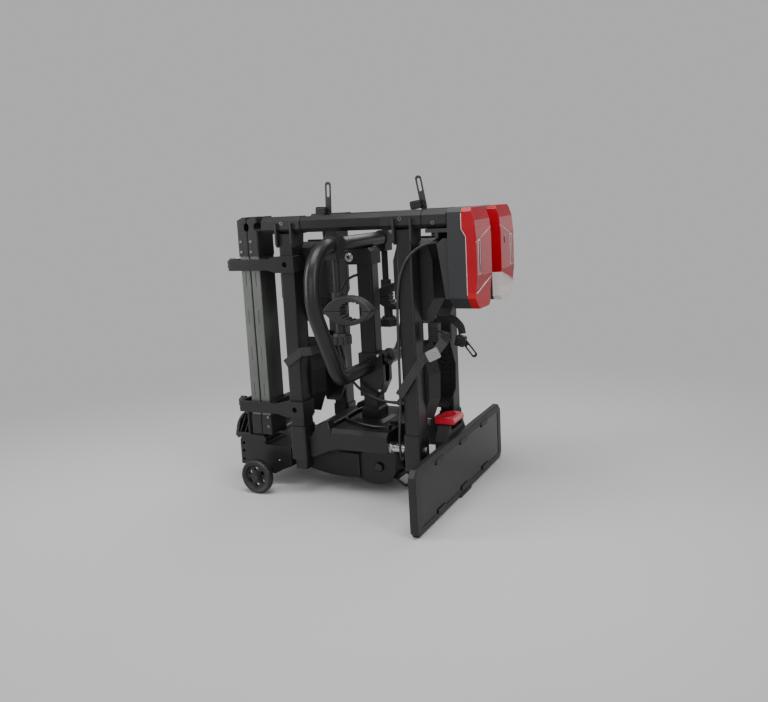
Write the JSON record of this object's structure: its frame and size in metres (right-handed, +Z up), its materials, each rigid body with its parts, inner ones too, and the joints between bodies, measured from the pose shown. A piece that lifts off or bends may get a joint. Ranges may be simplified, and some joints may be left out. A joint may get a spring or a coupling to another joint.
{
  "type": "towball bike rack",
  "caption": "Folding towball bike rack, folded on trolley wheels: hinged wheel trays with lamps, frame hoop with clamp jaws, loading ramp, plate board.",
  "frame": {"origin": "floor point under the middle of the folded rack's box", "axes": "+X points to the rear of the vehicle (lamps and plate), Y across the vehicle, +Z up"},
  "size_m": [0.67, 0.576, 0.7403],
  "materials": {
    "powder_black": "satin",
    "moulded_black": "matte",
    "rubber_black": "matte",
    "ramp_grey": "anodised",
    "grip_grey": "matte",
    "lamp_grey": "satin",
    "lens_red": "clear gloss",
    "pedal_red": "gloss",
    "pin_steel": "zinc plated",
    "cast": "painted",
    "plate_gloss": "gloss",
    "hoop_black": "semi gloss"
  },
  "bodies": {
    "chassis": {"trolley_frame": "powder_black", "ball_clamp": "cast", "carry_handle": "grip_grey", "wheel_axle": "pin_steel", "coupling_housing": "cast", "tilt_pin": "cast"},
    "near_trolley_wheel": {"near_wheel": "moulded_black"},
    "far_trolley_wheel": {"far_wheel": "moulded_black"},
    "bail": {"release_bail": "cast"},
    "platform": {"base_beam": "powder_black", "front_frame": "powder_black", "hinge_pins": "pin_steel", "rear_housing": "moulded_black", "plate_board": "moulded_black", "number_plate": "plate_gloss", "centre_post": "powder_black", "post_head": "moulded_black", "head_pin": "pin_steel", "base_cable": "rubber_black", "trailer_plug": "moulded_black", "post_cable": "rubber_black"},
    "pedal": {"tilt_pedal": "pedal_red"},
    "holder": {"hoop_bracket": "powder_black", "frame_hoop": "hoop_black", "near_grip_arm": "moulded_black", "far_grip_arm": "moulded_black"},
    "holder_knob": {"bracket_knob": "moulded_black"},
    "near_wing": {"near_tray_tubes": "powder_black", "near_hinge_sleeves": "powder_black", "near_top_beam": "powder_black", "near_beam_collars": "moulded_black", "near_tube_saddles": "powder_black", "near_wheel_pans": "moulded_black", "near_lamp_housing": "lamp_grey", "near_lamp_lens": "lens_red", "near_lamp_bracket": "lamp_grey", "near_straps": "rubber_black", "near_buckles": "moulded_black", "ramp_clamps": "powder_black", "lamp_cable": "rubber_black"},
    "far_wing": {"far_tray_tubes": "powder_black", "far_hinge_sleeves": "powder_black", "far_top_beam": "powder_black", "far_beam_collars": "moulded_black", "far_tube_saddles": "powder_black", "far_wheel_pans": "moulded_black", "far_lamp_housing": "lamp_grey", "far_lamp_lens": "lens_red", "far_lamp_bracket": "lamp_grey", "far_straps": "rubber_black"},
    "ramp": {"ramp_channels": "ramp_grey", "ramp_caps": "moulded_black"},
    "upper_screw": {"upper_ramp_knob": "moulded_black"},
    "lower_screw": {"lower_ramp_knob": "moulded_black"},
    "near_head": {"near_upper_jaw": "grip_grey"},
    "near_lower_grip": {"near_lower_jaw": "grip_grey"},
    "near_grip_knob": {"near_star_knob": "grip_grey"},
    "far_head": {"far_upper_jaw": "grip_grey"},
    "far_lower_grip": {"far_lower_jaw": "grip_grey"},
    "far_grip_knob": {"far_star_knob": "grip_grey"}
  },
  "joints": [
    {"name": "platform_tilt", "type": "hinge", "parent": "chassis", "child": "platform", "pos_m": [0.044, 0, 0.06], "axis": [0, 1, 0], "range_deg": [0, 30]},
    {"name": "near_wheel_spin", "type": "hinge", "parent": "chassis", "child": "near_trolley_wheel", "pos_m": [-0.239, -0.154, 0.042], "axis": [0, 1, 0], "continuous": true},
    {"name": "far_wheel_spin", "type": "hinge", "parent": "chassis", "child": "far_trolley_wheel", "pos_m": [-0.239, 0.154, 0.042], "axis": [0, 1, 0], "continuous": true},
    {"name": "bail_swing", "type": "hinge", "parent": "chassis", "child": "bail", "pos_m": [0.0765, 0, 0.028], "axis": [0, 1, 0], "range_deg": [-70, 12]},
    {"name": "pedal_press", "type": "hinge", "parent": "platform", "child": "pedal", "pos_m": [0.176, 0, 0.177], "axis": [0, 1, 0], "range_deg": [0, 9], "stiffness_Nm_per_rad": 0.8, "springref_deg": -5.73},
    {"name": "near_wing_fold", "type": "hinge", "parent": "platform", "child": "near_wing", "pos_m": [0, -0.104, 0.13], "axis": [1, 0, 0], "range_deg": [0, 90]},
    {"name": "far_wing_fold", "type": "hinge", "parent": "platform", "child": "far_wing", "pos_m": [0, 0.104, 0.13], "axis": [-1, 0, 0], "range_deg": [0, 90]},
    {"name": "ramp_lift", "type": "slide", "parent": "near_wing", "child": "ramp", "axis": [0, 0, 1], "range_m": [0, 0.45]},
    {"name": "upper_screw_turn", "type": "hinge", "parent": "near_wing", "child": "upper_screw", "pos_m": [-0.3, -0.096, 0.557], "axis": [1, 0, 0], "continuous": true},
    {"name": "lower_screw_turn", "type": "hinge", "parent": "near_wing", "child": "lower_screw", "pos_m": [-0.3, -0.096, 0.212], "axis": [1, 0, 0], "continuous": true},
    {"name": "holder_height", "type": "slide", "parent": "platform", "child": "holder", "axis": [0, 0, 1], "range_m": [0, 0.008]},
    {"name": "holder_knob_turn", "type": "hinge", "parent": "holder", "child": "holder_knob", "pos_m": [0.06, 0, 0.321], "axis": [1, 0, 0], "continuous": true},
    {"name": "near_head_swivel", "type": "hinge", "parent": "holder", "child": "near_head", "pos_m": [0.015, -0.155, 0.48], "axis": [0, 0, 1], "range_deg": [-40, 50]},
    {"name": "near_jaw_open", "type": "slide", "parent": "near_head", "child": "near_lower_grip", "axis": [0, 0, -1], "range_m": [0, 0.02]},
    {"name": "near_knob_turn", "type": "hinge", "parent": "near_lower_grip", "child": "near_grip_knob", "pos_m": [0.018, -0.155, 0.392], "axis": [0, 0, 1], "range_deg": [0, 1800]},
    {"name": "far_head_swivel", "type": "hinge", "parent": "holder", "child": "far_head", "pos_m": [0.015, 0.098, 0.48], "axis": [0, 0, 1], "range_deg": [-50, 40]},
    {"name": "far_jaw_open", "type": "slide", "parent": "far_head", "child": "far_lower_grip", "axis": [0, 0, -1], "range_m": [0, 0.02]},
    {"name": "far_knob_turn", "type": "hinge", "parent": "far_lower_grip", "child": "far_grip_knob", "pos_m": [0.018, 0.098, 0.392], "axis": [0, 0, 1], "range_deg": [0, 1800]}
  ],
  "couplings": [
    {"joint": "near_jaw_open", "follows": "near_knob_turn", "m_per_rad": 0.00063662},
    {"joint": "far_jaw_open", "follows": "far_knob_turn", "m_per_rad": 0.00063662}
  ]
}
